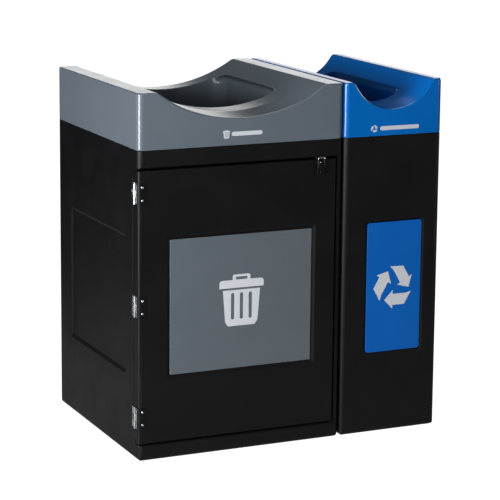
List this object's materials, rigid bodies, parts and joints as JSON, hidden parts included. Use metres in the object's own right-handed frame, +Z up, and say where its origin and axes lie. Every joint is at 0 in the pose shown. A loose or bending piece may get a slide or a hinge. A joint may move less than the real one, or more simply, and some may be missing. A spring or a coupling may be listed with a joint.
{
  "type": "recycling bin station",
  "caption": "Two-unit moulded waste station: wide trash cabinet with a front door beside a narrow recycling cabinet with a lifting hood, each with a rigid liner.",
  "frame": {"origin": "middle of the footprint on the floor", "axes": "+Z up, +Y to the back, +X to the right seen from the front"},
  "size_m": [0.9793, 0.6874, 1.067],
  "materials": {
    "black_plastic": "moulded polyethylene, fine texture",
    "grey_plastic": "moulded, satin gloss",
    "grey_sign": "flat sheet",
    "blue_plastic": "moulded, satin gloss",
    "blue_sign": "flat sheet",
    "white_film": "printed film",
    "liner_plastic": "moulded",
    "foam_tape": "foam",
    "rubber": "moulded",
    "black_steel": "powder coat",
    "zinc_steel": "zinc plate"
  },
  "bodies": {
    "station": {"trash_body": "black_plastic", "trash_hood": "grey_plastic", "trash_hood_icon": "white_film", "trash_liner": "liner_plastic", "hood_screws": "zinc_steel", "door_hinge_leaves_body": "black_steel", "door_hinge_pins": "zinc_steel", "body_screws": "zinc_steel", "latch_keeper": "black_steel", "keeper_screws": "zinc_steel", "recycle_body": "black_plastic", "recycle_sign": "blue_sign", "recycle_sign_tapes": "foam_tape", "recycle_sign_icon": "white_film", "recycle_liner": "liner_plastic", "hood_hinge_leaves_body": "black_steel", "hood_hinge_pins": "zinc_steel", "hood_hinge_screws_body": "zinc_steel", "joining_bolts": "zinc_steel", "joining_nuts": "zinc_steel", "joining_spacers": "rubber"},
    "door": {"trash_door": "black_plastic", "trash_sign": "grey_sign", "trash_sign_tapes": "foam_tape", "trash_sign_icon": "white_film", "door_hinge_leaves_door": "black_steel", "door_screws": "zinc_steel", "latch_base": "black_steel", "latch_pin": "zinc_steel", "latch_screws": "zinc_steel"},
    "lever": {"latch_lever": "black_steel"},
    "bail": {"latch_bail": "zinc_steel"},
    "lid": {"recycle_hood": "blue_plastic", "recycle_hood_icon": "white_film", "hood_hinge_leaves_hood": "black_steel", "hood_hinge_screws_hood": "zinc_steel"}
  },
  "joints": [
    {"name": "door_hinge", "type": "hinge", "parent": "station", "child": "door", "pos_m": [-0.48615, -0.3146, 0.4565], "axis": [0, 0, -1], "range_deg": [0, 120]},
    {"name": "latch_lever_pivot", "type": "hinge", "parent": "door", "child": "lever", "pos_m": [0.08815, -0.3376, 0.832], "axis": [-1, 0, 0], "range_deg": [0, 110]},
    {"name": "latch_bail_pivot", "type": "hinge", "parent": "lever", "child": "bail", "pos_m": [0.08815, -0.3401, 0.824], "axis": [-1, 0, 0], "range_deg": [-110, 0]},
    {"name": "recycle_hood_hinge", "type": "hinge", "parent": "station", "child": "lid", "pos_m": [0.32715, 0.3402, 0.9045], "axis": [-1, 0, 0], "range_deg": [0, 95]}
  ],
  "couplings": [
    {"joint": "latch_bail_pivot", "follows": "latch_lever_pivot", "ratio": -1}
  ]
}
